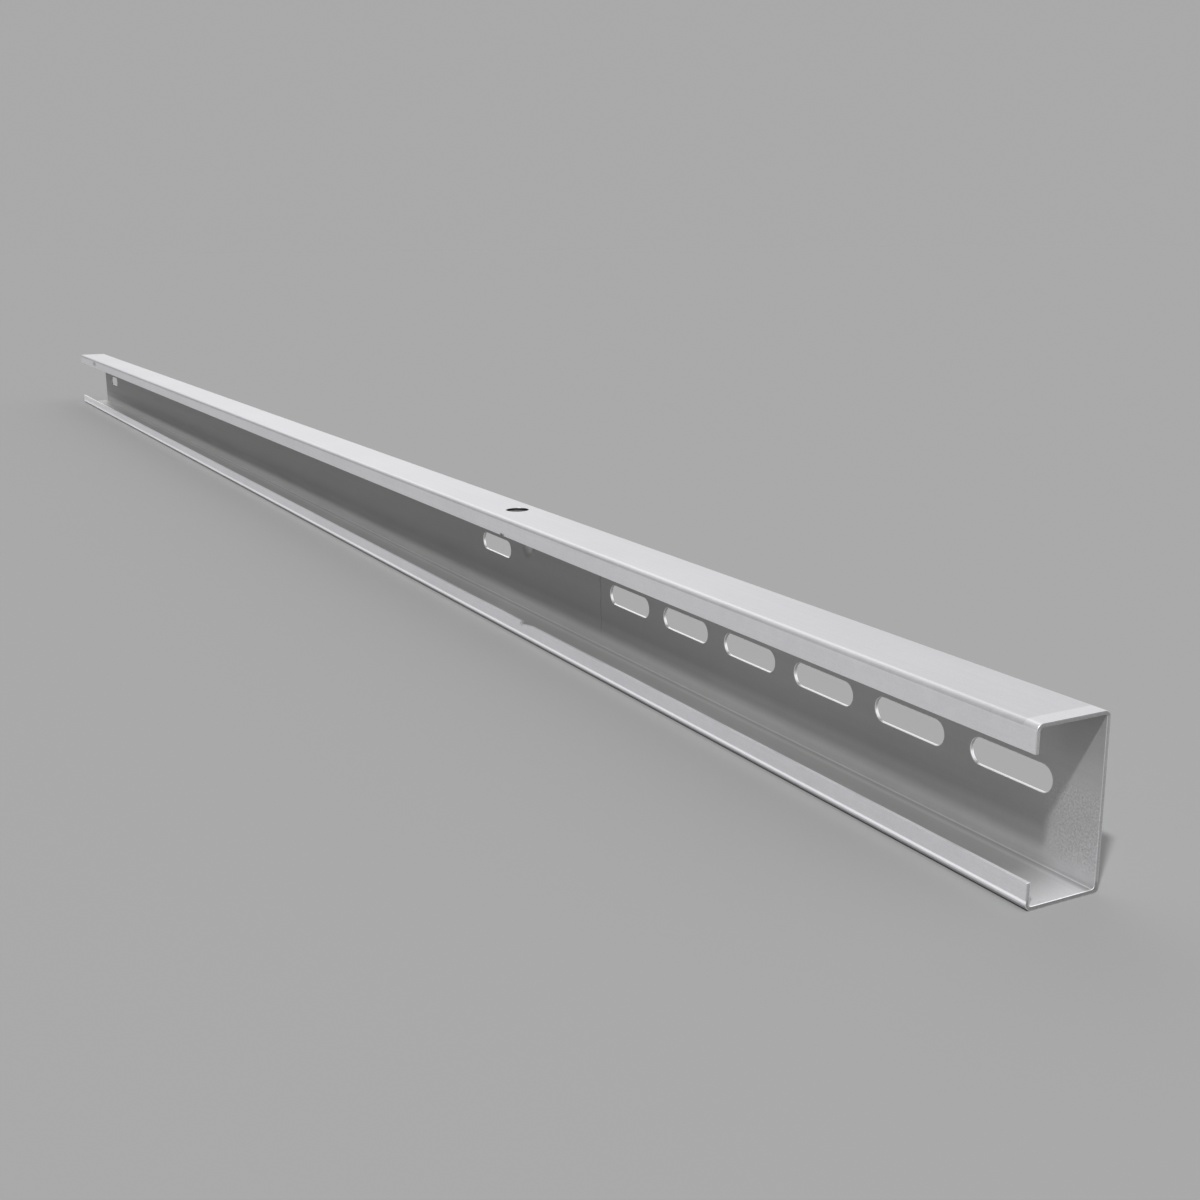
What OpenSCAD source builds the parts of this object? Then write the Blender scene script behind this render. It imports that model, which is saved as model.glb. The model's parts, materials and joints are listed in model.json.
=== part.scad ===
// Solar mounting upright: a lipped C channel rolled from one strip of galvanised steel.
// It lies on one flange, with the slotted web at the back and the two lips in front.
// X runs along the channel and the slotted end is at +X. The web is at +Y, and Z is up.
// The origin is the middle of the underside. Sizes are in millimetres.

/* [Channel] */
// Length from cut end to cut end
length = 2800; // [2300:10:3600]
// Height of the web, over both flanges
web_h = 100; // [80:1:150]
// Width of each flange, over the web and the lip
flange_w = 50; // [40:1:80]
// Height of each lip, over its flange
lip_h = 16; // [10:0.5:28]
// Thickness of the strip
sheet_t = 2.5; // [1.2:0.1:3]
// Inside radius of the four bends
bend_r = 2; // [1:0.1:4]

/* [Slot row] */
// Length of a slot over its round ends
slot_len = 64; // [40:1:78]
// Width of a slot
slot_w = 16; // [9:0.5:24]
// Slots in the row
slot_count = 6; // [2:1:8]
// Distance between neighbouring slots, middle to middle
slot_pitch = 86.5; // [70:0.5:110]
// First slot's middle, from the slotted end
slot_first = 66; // [42:1:120]

/* [Single slots] */
// Middle of the slot past the row, from the slotted end
lone_slot = 758; // [740:1:1500]
// Middle of the slot at the plain end, from that end
tail_slot = 96; // [42:1:300]

/* [Flange hole] */
// Diameter of the round hole in the top flange
hole_d = 20; // [8:0.5:30]
// Middle of the hole, from the slotted end
hole_from_end = 666; // [100:1:1500]
// Middle of the hole, from the web's outer face
hole_from_web = 22.5; // [21:0.5:29]

/* [Nick] */
// Deep end of the nick in the lower lip's edge, from the slotted end
nick_from_end = 603; // [100:1:1500]
// Length of the nick
nick_len = 21; // [5:1:40]
// Depth of the nick
nick_depth = 2.4; // [0.5:0.1:6]

/* [Hidden] */
$fn = 64;
outer_r = bend_r + sheet_t;
mouth_h = web_h - 2 * lip_h;
slot_z = web_h / 2;
end_x = length / 2;
web_y = flange_w / 2;
lip_y = -flange_w / 2;
through = 4 * sheet_t;
steel = [0.74, 0.75, 0.77];

// A rectangle about the origin with round corners
module rounded(w, h, r) {
    square([w - 2 * r, h], center = true);
    square([w, h - 2 * r], center = true);
    for (side = [-1, 1], up = [-1, 1])
        translate([side * (w / 2 - r), up * (h / 2 - r)])
            circle(r = r);
}

// The rolled section, with its mouth between the lips
module section() {
    difference() {
        rounded(flange_w, web_h, outer_r);
        rounded(flange_w - 2 * sheet_t, web_h - 2 * sheet_t, bend_r);
        translate([lip_y, 0])
            square([4 * sheet_t, mouth_h], center = true);
    }
}

// A punch with round ends that stands in the web, at a distance from the slotted end
module slot_punch(from_end) {
    run = slot_len - slot_w;
    translate([end_x - from_end, web_y - sheet_t / 2, slot_z]) {
        cube([run, through, slot_w], center = true);
        for (side = [-1, 1])
            translate([side * run / 2, 0, 0])
                rotate([90, 0, 0])
                    cylinder(d = slot_w, h = through, center = true);
    }
}

// The punch for the hole in the top flange
module hole_punch() {
    translate([end_x - hole_from_end, web_y - hole_from_web, web_h - sheet_t / 2])
        cylinder(d = hole_d, h = through, center = true);
}

// A wedge that bites into the lower lip's edge, steep at its deep end
module nick_bite() {
    translate([end_x - nick_from_end, lip_y + sheet_t / 2, lip_h])
        rotate([90, 0, 0])
            linear_extrude(height = through, center = true)
                polygon([[0, 1], [nick_depth / 3, -nick_depth], [nick_len, 0], [nick_len, 1]]);
}

module upright() {
    color(steel)
        difference() {
            translate([0, 0, web_h / 2])
                rotate([90, 0, 90])
                    linear_extrude(height = length, center = true)
                        section();
            for (i = [0 : slot_count - 1])
                slot_punch(slot_first + i * slot_pitch);
            slot_punch(lone_slot);
            slot_punch(length - tail_slot);
            hole_punch();
            nick_bite();
        }
}

upright();
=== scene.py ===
import bpy
import json
import math
from mathutils import Matrix, Vector
from types import SimpleNamespace


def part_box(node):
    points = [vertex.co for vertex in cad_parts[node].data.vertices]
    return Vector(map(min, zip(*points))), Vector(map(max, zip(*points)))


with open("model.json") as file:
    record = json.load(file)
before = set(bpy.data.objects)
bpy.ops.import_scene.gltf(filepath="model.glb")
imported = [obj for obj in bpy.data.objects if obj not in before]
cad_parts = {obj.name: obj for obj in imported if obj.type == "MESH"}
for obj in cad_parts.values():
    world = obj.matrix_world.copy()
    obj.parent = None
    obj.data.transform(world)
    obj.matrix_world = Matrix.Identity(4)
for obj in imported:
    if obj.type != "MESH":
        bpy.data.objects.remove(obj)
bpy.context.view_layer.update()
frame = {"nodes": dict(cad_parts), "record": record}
scene = bpy.context.scene
upright = frame["nodes"]["upright"]
mounts = {m["name"]: m for m in frame["record"]["mounts"]}
MM = 0.001

# The channel's box, hole and slots, from the frame
low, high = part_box("upright")
END_X, WEB_Y, LIP_Y, TOP_Z = high.x, high.y, low.y, high.z
MID_Z = TOP_Z / 2
HOLE_PLACE = Vector(mounts["flange_hole"]["pos_m"])
HOLE_R = mounts["flange_hole"]["dims"]["r_mm"] * MM
SHEET = mounts["flange_hole"]["dims"]["length_mm"] * MM
SLOT_R = mounts["slots_first_pair"]["dims"]["hole_r_mm"] * MM
SLOT_LEN = mounts["slots_first_pair"]["dims"]["slot_length_mm"] * MM

# Height of a lip, outer radius of the bends, and where the inner lower bend meets the floor of the channel
LIP = 16 * MM
BEND_R = 2 * MM + SHEET
CREASE_Y = WEB_Y - BEND_R

# Radius of the rounded cut edges, and the steps in it
EDGE_R, EDGE_STEPS = 0.3 * MM, 2

# How far from a face of the sheet a point still counts as on it
SKIN = 0.2 * MM

# Points that are nearer than the weld become one. Faces are joined below the flat angle, in degrees,
# and edges are rounded above the sharp one. The weight says how much large faces set the shading.
WELD, FLAT_ANGLE, SHARP_ANGLE, FACE_WEIGHT = 1e-6, 0.5, 40.0, 100

# Light: a key from the front right, and soft lights in the sky.
# Each soft light has its direction, the cosines from it where it begins and is full, and its strength.
KEY_STRENGTH, KEY_SPREAD = 2.45, 3.5
KEY_FROM = Vector((0.396, -0.502, 0.769))
SOFT_LIGHTS = {
    "overhead": ((0.0, 0.0, 1.0), 0.75, 1.0, 0.3),
    "back right": ((0.83, 0.52, 0.2), 0.2, 0.8, 1.0),
    "front": ((0.25, -0.93, 0.27), 0.2, 0.8, 0.3),
    "back left": ((-0.8, 0.5, 0.33), 0.78, 0.95, 0.97),
    "left": ((-0.83, 0.05, 0.55), 0.85, 0.96, 0.55),
}

# Floor: its colour, half its side, and the tone of the backdrop that meets it
FLOOR_TONE = (0.34, 0.34, 0.34, 1.0)
FLOOR_REACH = 40.0
BACKDROP = 0.3994

# Camera: its place by the slotted end, where it looks, its lens and sensor in mm, and how far it sees
CAMERA_PLACE = Vector((END_X + 0.5131, WEB_Y - 0.5618, 0.3325))
HEADING, PITCH, ROLL = 152.219, -13.678, -0.353
LENS, SENSOR, SIGHT = 44.62, 36.0, 200.0

# Colours of the zinc, the bare steel and the dark marks
ZINC = (0.8, 0.798, 0.826, 1.0)
# Inner zinc: painted shade inside the channel
ZINC_SHADED_INSIDE = (0.45, 0.449, 0.448, 1.0)
ZINC_EDGE = (0.88, 0.88, 0.9, 1.0)
CUT_STEEL = (0.4, 0.4, 0.408, 1.0)
# Painted shade on the end's rounded edges that do not face up
SHADED_END_EDGE = (0.6, 0.6, 0.612, 1.0)
# The hole's wall: painted shade
HOLE_SHADE = (0.1, 0.1, 0.103, 1.0)
PUNCHED_STEEL = (0.93, 0.93, 0.94, 1.0)
# Dark marks, painted shade in the nick among them
MARK_AND_SHADE = (0.1, 0.1, 0.104, 1.0)

# How metallic and how rough plain zinc is, and how much of the painted inner shade stays by the slotted
# end, where painted light lifts it
METAL, ROUGHNESS, END_SHADE_SHARE = 0.6, 0.42, 0.64

# Patterns of the zinc: the scale of each, and its share of that along the channel
PATTERNS = {
    "grain": (850.0, 1.0),
    "mottle": (140.0, 1.0),
    "cloud": (16.0, 0.5),
    "streak": (420.0, 0.01),
}

# How much the patterns change the tone and the roughness
PATTERN_TONES = {"mottle": 0.02, "streak": 0.02, "cloud": 0.03}
PATTERN_ROUGHNESS = {"grain": 0.025, "mottle": 0.025, "cloud": 0.015}

# How much the grain changes the tone, and what the coarse patch and the sheared ends add to that
GRAIN_TONE, COARSE_TONE, SHEARED_TONE = 0.035, 0.2, 0.1

# Depth of the grain, and how many times that depth the coarse patch and the sheared ends add to it
GRAIN_DEPTH, COARSE_DEPTH, SHEARED_DEPTH = 8e-6, 3.0, 1.0

# How much lighter or darker than plain zinc each place is; those marked below are painted light and shade
TONES = {
    # Painted shade: the flange darker, against the strong light on it
    "flange": -0.3,
    "end_strip": 0.13,
    # Painted light: the lip faces lighter, the lower lip more so towards the far end
    "lips": 0.12,
    "low_lip": 0.14,
    # Painted highlight on the upper outer bends
    "high_bend": 0.12,
    # Painted shade and painted dark reflection on the lower outer bends
    "low_bend": -0.55,
    # Painted highlight line along the lower lip's bend
    "rubbed": 0.25,
    # Painted light: the back of the web lighter
    "back": 0.15,
    # Painted light on the web: towards the slotted end, low down, and in a band along its foot
    "near_web": 0.2,
    "low_web": 0.12,
    "foot_band": 0.27,
    # Painted shade on the inner lower bend, a painted highlight line where it meets the channel's floor,
    # and a painted shadow line beside it
    "hollow": -0.25,
    "crease": 0.28,
    "furrow": -0.38,
    # Painted light on the channel's floor by the slotted end
    "near_floor": 0.55,
    "slot_rim": 0.05,
    # Painted shade on the ends' cut faces near the bottom
    "end_foot": -0.3,
    "burnished": 0.1,
    "break_line": -0.2,
    "far_wall": -0.7,
}

# How much rougher than plain zinc the inside, the smooth places and the dark marks are
INSIDE_ROUGHNESS, SMOOTH_ROUGHNESS, MARK_ROUGHNESS = 0.05, -0.06, 0.15


def from_end(distance_mm):
    """X of a point at a distance from the slotted end."""
    return END_X - distance_mm * MM


# Bounds of places on the steel, along the axis in the name: where each begins and where it is full
TOP_SIDE_Z = (TOP_Z - SHEET - 1.0 * MM, TOP_Z - SHEET - 0.5 * MM)
LIP_SIDE_Y = (LIP_Y + SHEET + 2 * SKIN, LIP_Y + SHEET + SKIN)
FRONT_Y, BACK_Y = (LIP_Y + 0.6 * MM, LIP_Y + 0.3 * MM), (WEB_Y - 2 * SKIN, WEB_Y - SKIN)
PAINTED_LIGHT_END_Z, FOOT_Z = (85 * MM, 50 * MM), (3 * SHEET, 2 * SHEET)
END_STRIP_X = (from_end(10.5), from_end(9))
LOW_LIP_X, LOW_LIP_Z = (END_X, -END_X), (MID_Z, LIP)
HIGH_BEND_Z, LOW_BEND_Z = (MID_Z, TOP_Z - BEND_R), (BEND_R, 0.6 * BEND_R)
NEAR_WEB_X, NEAR_WEB_Z = (from_end(650), from_end(250)), (8 * MM, 20 * MM)
BY_WEB_Y, LOW_WEB_Z = (12 * MM, 16 * MM), (60 * MM, 28 * MM)
LOW_INSIDE_Z = (BEND_R, BEND_R - 1.5 * MM)
HOLLOW_Y = (CREASE_Y - 0.3 * MM, CREASE_Y + 0.3 * MM)
FURROW_Y, FURROW_FADE_Y = (CREASE_Y, CREASE_Y - 0.4 * MM), (CREASE_Y - 6 * MM, CREASE_Y - 1.0 * MM)
NEAR_FLOOR_X, NEAR_FLOOR_Y = (from_end(26), END_X), (WEB_Y - 2 * SHEET, WEB_Y - 6 * SHEET)
FAR_WALL_X = (0.0, -END_X / 2)

# The band of painted light along the web's foot: its upper bound, and two stretches over which it rises
# from a share to full
FOOT_BAND_Z = (26 * MM, 19 * MM)
BAND_RISE_Z, BAND_LOWEST = (BEND_R, 9.5 * MM), 0.25
BAND_RISE_X, BAND_FARTHEST = (from_end(900), from_end(300)), 0.5

# Places with a middle: where that is, their reach to both sides, and the distance over which they fade out
INNER_Y, INNER_Z = (0.0, WEB_Y - SHEET + SKIN, SKIN), (MID_Z, MID_Z - SHEET + SKIN, SKIN)
LIP_EDGES_Z = (MID_Z, MID_Z - LIP + 3 * MM, SKIN)
NEAR_END_X, COARSE_Z = (END_X, 22 * MM, 22 * MM), (32 * MM, 14 * MM, 14 * MM)
# The painted highlight line along the lower lip's bend
HIGHLIGHT_LINE_Z = (BEND_R + 0.8 * MM, 0.5 * MM, 0.6 * MM)
CREASE_LINE_Y = (CREASE_Y + 0.3 * MM, 0.3 * MM, 0.3 * MM)

# Cuts: how far their rims reach, the lighter rim round a slot, and the depths of the burnish and the break
RIM, SLOT_RIM = 2 * EDGE_R, (1.6 * MM, 0.0)
BURNISH_DEPTH, BREAK_DEPTH = (0.4 * SHEET, 0.3 * SHEET), (0.55 * SHEET, 0.04 * SHEET, 0.08 * SHEET)

# How far a face is turned out of its sheet where a rounded edge, a cut face and a bend begin and are full,
# and the upward part of the normal below which an end's rounded edge gets painted shade, as an edge that
# does not face up
EDGE_TURN, CUT_TURN, BEND_TURN = (0.2, 0.35), (0.93, 0.98), (0.1, 0.45)
SIDE_UPWARD = (0.3, 0.15)

# Dark marks: strength, middle and reach.
# A dark patch on the upper lip's lower edge, two dark spots on the web, painted shade in the nick, and a
# dark patch at the far end.
MARKS = [
    (0.95, (from_end(639), LIP_Y, 84.6 * MM), (5.5 * MM, 4 * MM, 1.9 * MM)),
    (0.45, (from_end(691), WEB_Y - SHEET, 56 * MM), (10 * MM, 2 * MM, 8 * MM)),
    (0.3, (from_end(677), WEB_Y - SHEET, 61 * MM), (5 * MM, 2 * MM, 4 * MM)),
    # Painted shade in the nick
    (0.6, (from_end(602), LIP_Y + SHEET / 2, 14.6 * MM), (4 * MM, 4 * MM, 3 * MM)),
    (0.5, (from_end(2640), LIP_Y, 92 * MM), (26 * MM, 4 * MM, 6 * MM)),
]

# Shares of a mark's reach between which it fades, and how far the grain frays it
MARK_FADE, MARK_FRAY = (0.1, 1.1), 0.3

# Scratch down the web: its place, its strength and how much that varies, its sway, and the sway's scale
SCRATCH_X, SCRATCH_Z = (from_end(547), 0.1 * MM, 0.7 * MM), (46 * MM, 24 * MM, 14 * MM)
SCRATCH_STRENGTH, SCRATCH_VARIES = 0.5, 0.25
SCRATCH_SWAY, SWAY_SCALE = 2 * MM, 60.0


def slot_middles():
    """X of each slot's middle, two for each stated pair."""
    middles = []
    for mount in mounts.values():
        if mount["kind"] == "bolt_pattern":
            half = mount["dims"]["spacing_x_mm"] * MM / 2
            middles += [mount["pos_m"][0] - half, mount["pos_m"][0] + half]
    return middles


class Nodes:
    """Builds a node tree in plain steps."""

    def __init__(self, tree):
        self.tree = tree

    def add(self, kind, values=(), **settings):
        node = self.tree.nodes.new(kind)
        for name, value in settings.items():
            setattr(node, name, value)
        for key, value in dict(values).items():
            self.put(node.inputs[key], value)
        return node

    def put(self, socket, value):
        """Links an output to the socket, or sets a plain value on it."""
        if hasattr(value, "is_output"):
            self.tree.links.new(value, socket)
        else:
            socket.default_value = value

    def math(self, operation, a, b=0.0, c=0.0):
        node = self.add("ShaderNodeMath", operation=operation)
        for socket, value in zip(node.inputs, (a, b, c)):
            self.put(socket, value)
        return node.outputs[0]

    def vector(self, operation, a, b=(0.0, 0.0, 0.0), output=0):
        node = self.add("ShaderNodeVectorMath", operation=operation)
        self.put(node.inputs[0], a)
        self.put(node.inputs[1], b)
        return node.outputs[output]

    def length(self, vector):
        return self.vector("LENGTH", vector, output="Value")

    def split(self, vector):
        return list(self.add("ShaderNodeSeparateXYZ", {0: vector}).outputs)

    def join(self, x, y, z):
        return self.add("ShaderNodeCombineXYZ", {0: x, 1: y, 2: z}).outputs[0]

    def size(self, value):
        return self.math("ABSOLUTE", value)

    def apart(self, value, middle):
        return self.size(self.math("SUBTRACT", value, middle))

    def ramp(self, value, start, stop, at_start=0.0, at_stop=1.0, smooth=True):
        """Goes from one level at the start to the other at the stop, which may lie below the start."""
        kind = "SMOOTHSTEP" if smooth else "LINEAR"
        node = self.add("ShaderNodeMapRange", interpolation_type=kind, clamp=True)
        for socket, number in zip(node.inputs, (value, start, stop, at_start, at_stop)):
            self.put(socket, number)
        return node.outputs[0]

    def near(self, value, middle, reach, soft):
        """1 within reach of the middle, down to 0 over the soft distance past it."""
        return self.ramp(self.apart(value, middle), reach, reach + soft, 1.0, 0.0)

    def none_of(self, *masks):
        return self.math("SUBTRACT", 1.0, self.most(*masks))

    def every(self, first, *others):
        """The product of masks: where all of them hold."""
        for other in others:
            first = self.math("MULTIPLY", first, other)
        return first

    def most(self, first, *others):
        for other in others:
            first = self.math("MAXIMUM", first, other)
        return first

    def total(self, base, *parts):
        """The base and each (value, weight)."""
        for value, weight in parts:
            base = self.math("MULTIPLY_ADD", value, weight, base)
        return base

    def weigh(self, base, values, weights):
        """The base and each named value times its weight."""
        return self.total(base, *((values[name], weight) for name, weight in weights.items()))

    def noise(self, vector, scale):
        """Noise from about -1 to 1."""
        node = self.add("ShaderNodeTexNoise", {"Vector": vector, "Scale": scale, "Detail": 2.0})
        return self.ramp(node.outputs["Fac"], 0.25, 0.75, -1.0, 1.0, smooth=False)

    def mix(self, factor, a, b, blend="MIX"):
        node = self.add("ShaderNodeMix", data_type="RGBA", blend_type=blend)
        for name, value in (("Factor", factor), ("A", a), ("B", b)):
            self.put(node.inputs[name], value)
        return node.outputs["Result"]


def new_material(name):
    """An empty material with its shader, and the builder of its tree."""
    material = bpy.data.materials.new(name)
    material.use_nodes = True
    tree = material.node_tree
    return material, Nodes(tree), tree.nodes["Principled BSDF"]


def slot_distance(n, x, z):
    """Distance from the nearest slot's outline, in the plane of the web."""
    gaps = [n.apart(x, middle) for middle in slot_middles()]
    nearest = gaps[0]
    for gap in gaps[1:]:
        nearest = n.math("MINIMUM", nearest, gap)
    past = n.math("MAXIMUM", n.math("SUBTRACT", nearest, SLOT_LEN / 2 - SLOT_R), 0.0)
    return n.math("SUBTRACT", n.length(n.join(past, n.math("SUBTRACT", z, MID_Z), 0.0)), SLOT_R)


def hole_distance(n, place):
    """Distance from the flange hole's outline, in the plane of the flange."""
    offset = n.vector("MULTIPLY", n.vector("SUBTRACT", place, HOLE_PLACE), (1.0, 1.0, 0.0))
    return n.math("SUBTRACT", n.length(offset), HOLE_R)


def sine_from(n, part):
    """Sine of the angle between the face's normal and an axis, from the normal's part along it."""
    return n.math("SQRT", n.math("MAXIMUM", n.math("SUBTRACT", 1.0, n.math("MULTIPLY", part, part)), 0.0))


def places_on_steel(n):
    """Masks that say where on the channel a point is."""
    at = SimpleNamespace()
    at.place = n.add("ShaderNodeTexCoord").outputs["Object"]
    at.x, at.y, at.z = n.split(at.place)
    at.inside = n.every(n.near(at.y, *INNER_Y), n.near(at.z, *INNER_Z))
    at.on_top = n.ramp(at.z, *TOP_SIDE_Z)
    at.on_lip = n.ramp(at.y, *LIP_SIDE_Y)
    at.foot = n.ramp(at.z, *FOOT_Z)
    at.near_end = n.near(at.x, *NEAR_END_X)
    at.coarse = n.every(at.near_end, at.inside, n.near(at.z, *COARSE_Z))
    # Painted light inside by the slotted end, fading upwards
    at.fresh = n.every(at.near_end, n.ramp(at.z, *PAINTED_LIGHT_END_Z))
    at.slot_gap = slot_distance(n, at.x, at.z)
    return at


def add_turned_places(n, at):
    """Adds masks of cut faces, rounded edges and bends, from how far a face is turned out of its sheet.

    The turn is 0 on the sheet, 1 on a cut face, and between them on a rounded edge.
    """
    geometry = n.add("ShaderNodeNewGeometry")
    facing = n.split(geometry.outputs["True Normal"])
    flat_x, flat_y, flat_z = (n.size(part) for part in facing)
    _, round_y, round_z = (n.size(part) for part in n.split(geometry.outputs["Normal"]))
    along = n.size(at.x)
    end_turn = n.every(flat_x, n.ramp(along, END_X - RIM - SKIN, END_X - RIM))
    slot_turn = n.every(sine_from(n, flat_y), n.ramp(at.slot_gap, RIM + SKIN, RIM))
    by_hole = n.ramp(hole_distance(n, at.place), RIM + SKIN, RIM)
    hole_turn = n.every(sine_from(n, flat_z), by_hole, at.on_top)
    lip_turn = n.every(flat_z, at.on_lip, n.near(at.z, *LIP_EDGES_Z))
    turn = n.most(end_turn, slot_turn, hole_turn)
    cut = n.ramp(turn, *CUT_TURN)
    at.edge = n.every(n.ramp(turn, *EDGE_TURN), n.none_of(cut))
    by_end = n.ramp(along, END_X - EDGE_R - SKIN, END_X - EDGE_R)
    # Painted shade: the end's rounded edges that do not face up are darker
    at.end_side = n.every(at.edge, by_end, n.ramp(facing[2], *SIDE_UPWARD))
    at.end_cut = n.every(cut, by_end)
    at.hole_cut = n.every(cut, by_hole, at.on_top)
    at.punched = n.math("SUBTRACT", cut, at.end_cut)
    turned = n.most(at.inside, turn, lip_turn)
    at.bend = n.every(n.ramp(n.math("MINIMUM", round_y, round_z), *BEND_TURN), n.none_of(turned))


def outer_spots(n, at):
    """Places on the flange, the lip faces, the outer bends and the back: painted shade on the flange,
    painted light on the lip faces and the back, a painted highlight on the upper bends, a painted highlight
    line on the lower lip, painted shade on the lower bends, and a lighter strip at the slotted end.
    """
    return {
        "flange": at.on_top,
        "end_strip": n.every(at.on_top, n.ramp(at.x, *END_STRIP_X), n.none_of(at.inside)),
        "lips": at.on_lip,
        "low_lip": n.every(at.on_lip, n.ramp(at.z, *LOW_LIP_Z), n.ramp(at.x, *LOW_LIP_X)),
        # painted highlight on the upper outer bends
        "high_bend": n.every(at.bend, n.ramp(at.z, *HIGH_BEND_Z)),
        # painted shade on the lower outer bends
        "low_bend": n.every(at.bend, n.ramp(at.z, *LOW_BEND_Z)),
        # painted highlight line along the lower lip's bend
        "rubbed": n.every(n.ramp(at.y, *FRONT_Y), n.near(at.z, *HIGHLIGHT_LINE_Z)),
        "back": n.ramp(at.y, *BACK_Y),
    }


def web_spots(n, at):
    """Painted light inside on the web: lighter towards the slotted end, lower down, and in a band along its
    foot.
    """
    past_end = n.none_of(at.near_end)
    by_web = n.every(at.inside, n.ramp(at.y, *BY_WEB_Y))
    # A band of painted light along the web's foot
    band = n.every(by_web, n.ramp(at.z, *FOOT_BAND_Z), past_end)
    band = n.every(band, n.ramp(at.z, *BAND_RISE_Z, BAND_LOWEST), n.ramp(at.x, *BAND_RISE_X, BAND_FARTHEST))
    return {
        "near_web": n.every(at.inside, n.ramp(at.x, *NEAR_WEB_X), past_end, n.ramp(at.z, *NEAR_WEB_Z)),
        "low_web": n.every(by_web, n.ramp(at.z, *LOW_WEB_Z)),
        "foot_band": band,
    }


def floor_spots(n, at):
    """Painted shade on the inner lower bend, a painted highlight line and a painted shadow line where it
    meets the channel's floor, and painted light on that floor by the near end.
    """
    low_inside = n.every(at.inside, n.ramp(at.z, *LOW_INSIDE_Z))
    # Painted light on the channel's floor by the slotted end
    near_floor = n.every(at.inside, at.foot, n.ramp(at.x, *NEAR_FLOOR_X, smooth=False))
    return {
        "hollow": n.every(low_inside, n.ramp(at.y, *HOLLOW_Y)),
        "crease": n.every(low_inside, n.near(at.y, *CREASE_LINE_Y)),
        "furrow": n.every(low_inside, n.ramp(at.y, *FURROW_Y), n.ramp(at.y, *FURROW_FADE_Y)),
        "near_floor": n.every(near_floor, n.ramp(at.y, *NEAR_FLOOR_Y)),
    }


def cut_spots(n, at):
    """Places by the cuts: a lighter rim round the slots, painted shade on the ends' cut faces near the
    bottom, burnish on the outer side of sheared ends, a break line in punched walls, and punched walls
    darker towards the far end.
    """
    depth_y = n.math("SUBTRACT", WEB_Y, n.size(at.y))
    depth = n.math("MINIMUM", depth_y, n.math("SUBTRACT", MID_Z, n.apart(at.z, MID_Z)))
    return {
        "slot_rim": n.ramp(at.slot_gap, *SLOT_RIM),
        "end_foot": n.every(at.end_cut, at.foot),
        "burnished": n.every(at.end_cut, n.ramp(depth, *BURNISH_DEPTH)),
        "break_line": n.every(at.punched, n.near(depth, *BREAK_DEPTH)),
        "far_wall": n.every(at.punched, n.ramp(at.x, *FAR_WALL_X)),
    }


def zinc_patterns(n, place):
    """Grain, mottle, faint clouds and drawn streaks of the zinc, each from about -1 to 1."""
    zinc = {}
    for name, (scale, along) in PATTERNS.items():
        zinc[name] = n.noise(n.vector("MULTIPLY", place, (along, 1.0, 1.0)), scale)
    return zinc


def dark_marks_and_shade(n, at, grain):
    """The dark marks, painted shade in the nick among them, and a scratch down the web."""
    masks = []
    for strength, middle, reach in MARKS:
        offset = n.vector("SUBTRACT", at.place, middle)
        distance = n.length(n.vector("DIVIDE", offset, reach))
        masks.append(n.ramp(n.total(distance, (grain, MARK_FRAY)), *MARK_FADE, strength, 0.0))
    sway = n.noise(n.join(0.0, 0.0, at.z), SWAY_SCALE)
    line = n.near(n.total(at.x, (sway, SCRATCH_SWAY)), *SCRATCH_X)
    line = n.every(line, n.near(at.z, *SCRATCH_Z), at.inside)
    scratch = n.every(line, n.total(SCRATCH_STRENGTH, (sway, SCRATCH_VARIES)))
    return n.most(*masks, scratch)


def steel_tone(n, at, zinc, spots):
    """How light the steel is, with 1 for plain zinc."""
    grain_weight = n.total(GRAIN_TONE, (at.coarse, COARSE_TONE), (at.end_cut, SHEARED_TONE))
    tone = n.math("ADD", 1.0, n.every(zinc["grain"], grain_weight))
    tone = n.weigh(tone, zinc, PATTERN_TONES)
    return n.weigh(tone, spots, TONES)


def steel_colour(n, at, tone, mark_and_shade):
    """Zinc with painted shade inside, partly lifted by painted light by the slotted end, bare metal on cut
    faces, light edges, painted shade on the hole wall and on end edges that do not face up, and dark marks.
    """
    # Painted shade inside the channel, partly lifted by painted light by the slotted end
    painted_shade_inside = n.every(at.inside, n.ramp(at.fresh, 0.0, 1.0, 1.0, END_SHADE_SHARE, smooth=False))
    layers = [
        (painted_shade_inside, ZINC_SHADED_INSIDE),
        (at.end_cut, CUT_STEEL),
        (at.punched, PUNCHED_STEEL),
        # painted shade on the hole's wall
        (at.hole_cut, HOLE_SHADE),
        (at.edge, ZINC_EDGE),
        (at.end_side, SHADED_END_EDGE),
    ]
    colour = ZINC
    for mask, layer in layers:
        colour = n.mix(mask, colour, layer)
    return n.mix(mark_and_shade, n.mix(1.0, colour, tone, "MULTIPLY"), MARK_AND_SHADE)


def steel_roughness(n, at, zinc, mark_and_shade):
    """Rougher inside and in the dark marks, smoother on the flange, the bends, the edges and the punched
    walls.
    """
    smooth = n.most(n.every(at.on_top, n.none_of(at.inside)), at.bend, at.edge, at.punched)
    rough = n.weigh(ROUGHNESS, zinc, PATTERN_ROUGHNESS)
    rough = n.total(rough, (at.inside, INSIDE_ROUGHNESS), (smooth, SMOOTH_ROUGHNESS))
    return n.total(rough, (mark_and_shade, MARK_ROUGHNESS))


def steel_relief(n, at, grain):
    """The grain of the zinc, deeper in the coarse patch and on the sheared ends."""
    relief = n.every(grain, n.total(1.0, (at.coarse, COARSE_DEPTH), (at.end_cut, SHEARED_DEPTH)))
    return n.add("ShaderNodeBump", {"Strength": 1.0, "Distance": GRAIN_DEPTH, "Height": relief}).outputs[0]


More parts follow.
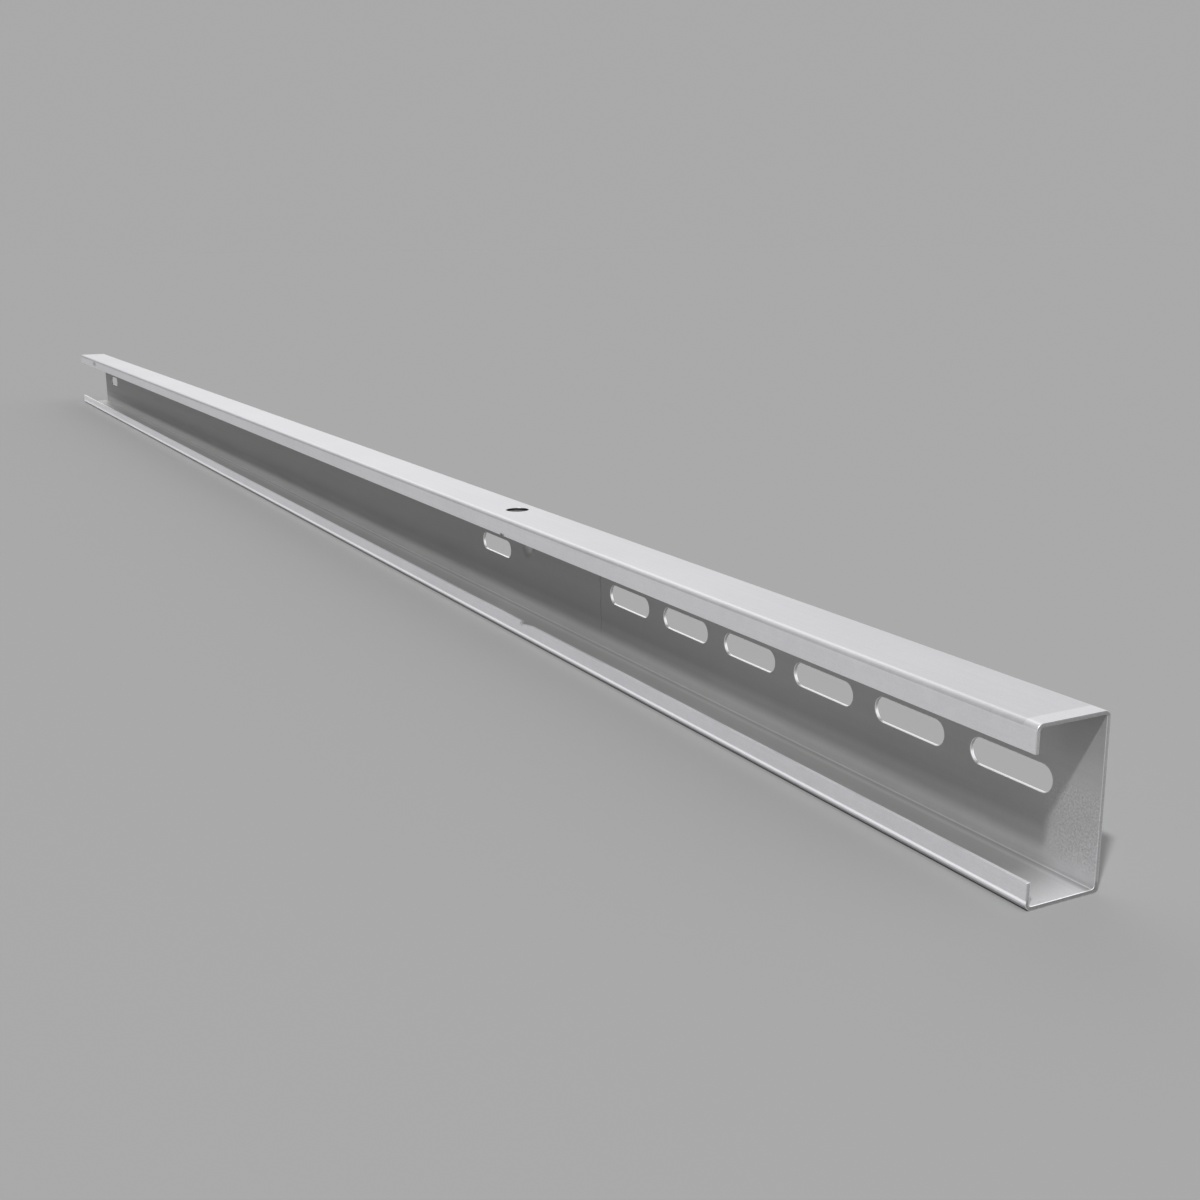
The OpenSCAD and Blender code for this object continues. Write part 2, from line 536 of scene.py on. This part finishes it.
def steel_material():
    """Satin zinc over steel."""
    material, n, shader = new_material("galvanised_steel")
    at = places_on_steel(n)
    add_turned_places(n, at)
    spots = {**outer_spots(n, at), **web_spots(n, at), **floor_spots(n, at), **cut_spots(n, at)}
    zinc = zinc_patterns(n, at.place)
    mark_and_shade = dark_marks_and_shade(n, at, zinc["grain"])
    tone = steel_tone(n, at, zinc, spots)
    # The painted highlight line is not metallic; punched walls are fully metallic
    metal = n.total(METAL, (spots["rubbed"], -METAL), (at.punched, 1.0 - METAL))
    n.put(shader.inputs["Base Color"], steel_colour(n, at, tone, mark_and_shade))
    n.put(shader.inputs["Metallic"], metal)
    n.put(shader.inputs["Roughness"], steel_roughness(n, at, zinc, mark_and_shade))
    n.put(shader.inputs["Normal"], steel_relief(n, at, zinc["grain"]))
    return material


def floor_material():
    """A matt, even tone."""
    material, _, shader = new_material("pale_floor")
    shader.inputs["Base Color"].default_value = FLOOR_TONE
    shader.inputs["Roughness"].default_value = 1.0
    shader.inputs["Specular IOR Level"].default_value = 0.0
    return material


def finish_steel():
    """Gives the channel its material and rounds its cut edges, inside its own outline."""
    upright.data.materials.clear()
    upright.data.materials.append(steel_material())
    weld = upright.modifiers.new("weld", "WELD")
    weld.merge_threshold = WELD
    flat = upright.modifiers.new("flat", "DECIMATE")
    flat.decimate_type = "DISSOLVE"
    flat.angle_limit = math.radians(FLAT_ANGLE)
    edges = upright.modifiers.new("edges", "BEVEL")
    edges.width = EDGE_R
    edges.segments = EDGE_STEPS
    edges.limit_method = "ANGLE"
    edges.angle_limit = math.radians(SHARP_ANGLE)
    edges.use_clamp_overlap = False
    edges.loop_slide = False
    normals = upright.modifiers.new("normals", "WEIGHTED_NORMAL")
    normals.weight = FACE_WEIGHT


def add_floor():
    """A wide square under the channel."""
    mesh = bpy.data.meshes.new("floor")
    reach = FLOOR_REACH
    corners = [(-reach, -reach, 0), (reach, -reach, 0), (reach, reach, 0), (-reach, reach, 0)]
    mesh.from_pydata(corners, [], [(0, 1, 2, 3)])
    mesh.materials.append(floor_material())
    floor = bpy.data.objects.new("floor", mesh)
    scene.collection.objects.link(floor)


def add_sky():
    """The soft lights. The camera itself sees a plain backdrop in the floor's tone."""
    world = bpy.data.worlds.new("studio")
    world.use_nodes = True
    scene.world = world
    n = Nodes(world.node_tree)
    towards = n.add("ShaderNodeTexCoord").outputs["Generated"]
    glow = 0.0
    for axis, start, full, strength in SOFT_LIGHTS.values():
        facing = n.vector("DOT_PRODUCT", towards, axis, "Value")
        glow = n.math("ADD", glow, n.ramp(facing, start, full, 0.0, strength, smooth=False))
    seen = n.add("ShaderNodeLightPath").outputs["Is Camera Ray"]
    background = world.node_tree.nodes["Background"]
    background.inputs["Color"].default_value = (1.0, 1.0, 1.0, 1.0)
    n.put(background.inputs["Strength"], n.ramp(seen, 0.0, 1.0, glow, BACKDROP, smooth=False))


def add_key():
    """The main light."""
    data = bpy.data.lights.new("key", "SUN")
    data.energy = KEY_STRENGTH
    data.angle = math.radians(KEY_SPREAD)
    key = bpy.data.objects.new("key", data)
    key.rotation_euler = (-KEY_FROM).to_track_quat("-Z", "Y").to_euler()
    scene.collection.objects.link(key)


def add_camera():
    """The camera, turned to its heading, then tilted, then rolled."""
    data = bpy.data.cameras.new("camera")
    data.sensor_fit = "HORIZONTAL"
    data.sensor_width = SENSOR
    data.lens = LENS
    data.clip_end = SIGHT
    camera = bpy.data.objects.new("camera", data)
    # Before its turns a camera looks straight down, with its top towards +Y
    turns = ((HEADING - 90, "Z"), (90 + PITCH, "X"), (ROLL, "Z"))
    pose = Matrix.Translation(CAMERA_PLACE)
    for angle, axis in turns:
        pose = pose @ Matrix.Rotation(math.radians(angle), 4, axis)
    camera.matrix_world = pose
    scene.collection.objects.link(camera)
    scene.camera = camera
    scene.view_settings.view_transform = "Standard"


finish_steel()
add_floor()
add_sky()
add_key()
add_camera()

bpy.context.view_layer.update()
